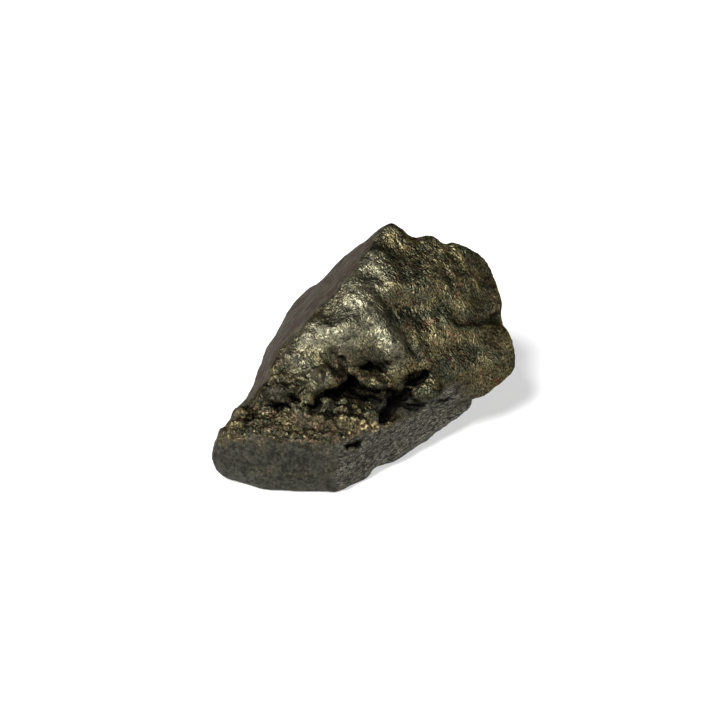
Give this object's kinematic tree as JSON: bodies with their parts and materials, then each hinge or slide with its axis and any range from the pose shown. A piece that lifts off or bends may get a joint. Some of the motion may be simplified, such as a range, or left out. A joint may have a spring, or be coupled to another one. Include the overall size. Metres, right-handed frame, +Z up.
{
  "type": "magnetite specimen",
  "caption": "Worn hand specimen of dark metallic iron ore: a block with one broad glittering face on a ledge-like slab, split by a deep broken seam, resting on a flat base.",
  "frame": {"origin": "middle of the bounding box in plan, on the plane that the stone rests on", "axes": "+X to the right along the stone's longest extent, +Y to the back, away from the ledge, +Z up along its shortest extent"},
  "size_m": [0.0598, 0.0492, 0.0336],
  "materials": {
    "ore": "submetallic, olive-black and fine grained, with a golden sheen on the broad face, a rusty glitter on the ledge and a duller fine-pored slab"
  },
  "bodies": {
    "root": {"magnetite": "ore"}
  },
  "joints": []
}
